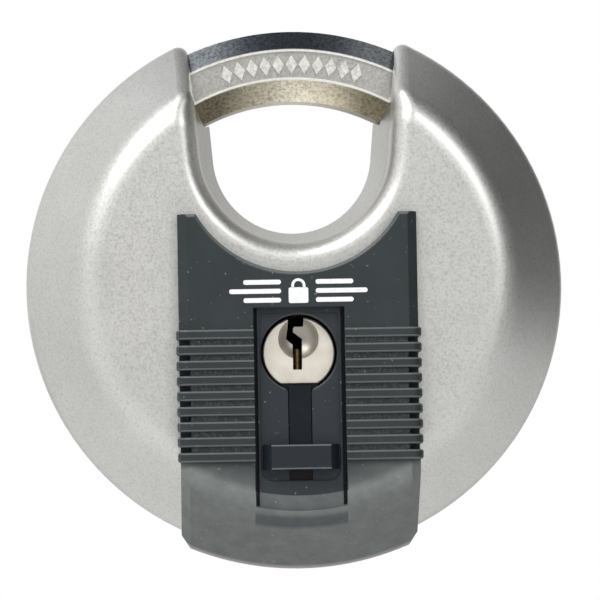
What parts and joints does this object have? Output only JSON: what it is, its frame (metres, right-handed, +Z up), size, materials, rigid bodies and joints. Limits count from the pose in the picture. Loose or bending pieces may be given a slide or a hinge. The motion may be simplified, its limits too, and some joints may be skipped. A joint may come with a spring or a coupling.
{
  "type": "disc padlock",
  "caption": "Round disc padlock with a notch and a turning octagonal shackle, a ribbed plastic jacket and a sliding keyhole shutter.",
  "frame": {"origin": "on the disc's axis, in the plane of the flat rear face", "axes": "+Y out of the rear face, +Z up toward the notch and shackle, +X to the right seen from the keyhole side"},
  "size_m": [0.07, 0.0291, 0.0702],
  "materials": {
    "stainless": "bead-blasted satin",
    "shackle_steel": "plated, coarse satin",
    "hardened_steel": "zinc plated",
    "zinc_casting": "as cast",
    "nickel_brass": "nickel plated",
    "brass": "turned",
    "spring_steel": "drawn wire",
    "cover_plastic": "fine moulded texture",
    "shutter_plastic": "smooth moulded"
  },
  "bodies": {
    "body": {"front_shell": "stainless", "rear_shell": "stainless", "front_plate": "hardened_steel", "rear_plate": "hardened_steel", "core_body": "zinc_casting", "front_guide": "zinc_casting", "stop_block": "zinc_casting", "rear_spacer": "zinc_casting", "core_rivets": "hardened_steel", "rotor_pivot": "hardened_steel", "cylinder_housing": "nickel_brass", "cylinder_retaining_pin": "hardened_steel", "pin_chamber_cap": "brass", "cover": "cover_plastic", "pin_spring_1": "spring_steel", "pin_spring_2": "spring_steel", "pin_spring_3": "spring_steel", "pin_spring_4": "spring_steel"},
    "shackle": {"shackle": "shackle_steel", "shackle_rivets": "hardened_steel", "rotor": "hardened_steel"},
    "plug": {"plug": "nickel_brass", "drive_cam": "hardened_steel", "drive_pin": "hardened_steel"},
    "shutter": {"shutter": "shutter_plastic"},
    "key_pin_1": {"key_pin_1": "brass"},
    "driver_pin_1": {"driver_pin_1": "nickel_brass"},
    "key_pin_2": {"key_pin_2": "brass"},
    "driver_pin_2": {"driver_pin_2": "nickel_brass"},
    "key_pin_3": {"key_pin_3": "brass"},
    "driver_pin_3": {"driver_pin_3": "nickel_brass"},
    "key_pin_4": {"key_pin_4": "brass"},
    "driver_pin_4": {"driver_pin_4": "nickel_brass"}
  },
  "joints": [
    {"name": "shackle_turn", "type": "hinge", "parent": "body", "child": "shackle", "pos_m": [0, -0.0125, 0], "axis": [0, 1, 0], "range_deg": [0, 60]},
    {"name": "key_turn", "type": "hinge", "parent": "body", "child": "plug", "pos_m": [0, -0.0125, -0.0091], "axis": [0, 1, 0], "range_deg": [0, 120]},
    {"name": "shutter_slide", "type": "slide", "parent": "body", "child": "shutter", "axis": [0, 0, 1], "range_m": [0, 0.0088]},
    {"name": "key_pin_slide_1", "type": "slide", "parent": "plug", "child": "key_pin_1", "axis": [0, 0, 1], "range_m": [0, 0.001]},
    {"name": "key_pin_slide_2", "type": "slide", "parent": "plug", "child": "key_pin_2", "axis": [0, 0, 1], "range_m": [0, 0.001]},
    {"name": "key_pin_slide_3", "type": "slide", "parent": "plug", "child": "key_pin_3", "axis": [0, 0, 1], "range_m": [0, 0.001]},
    {"name": "key_pin_slide_4", "type": "slide", "parent": "plug", "child": "key_pin_4", "axis": [0, 0, 1], "range_m": [0, 0.001]},
    {"name": "driver_pin_slide_1", "type": "slide", "parent": "body", "child": "driver_pin_1", "axis": [0, 0, -1], "range_m": [0, 0.002], "stiffness_N_per_m": 250, "springref_m": -0.001, "deforming": ["pin_spring_1"]},
    {"name": "driver_pin_slide_2", "type": "slide", "parent": "body", "child": "driver_pin_2", "axis": [0, 0, -1], "range_m": [0, 0.002], "stiffness_N_per_m": 250, "springref_m": -0.001, "deforming": ["pin_spring_2"]},
    {"name": "driver_pin_slide_3", "type": "slide", "parent": "body", "child": "driver_pin_3", "axis": [0, 0, -1], "range_m": [0, 0.002], "stiffness_N_per_m": 250, "springref_m": -0.001, "deforming": ["pin_spring_3"]},
    {"name": "driver_pin_slide_4", "type": "slide", "parent": "body", "child": "driver_pin_4", "axis": [0, 0, -1], "range_m": [0, 0.002], "stiffness_N_per_m": 250, "springref_m": -0.001, "deforming": ["pin_spring_4"]}
  ],
  "couplings": [
    {"joint": "key_turn", "follows": "shackle_turn", "ratio": 2}
  ]
}
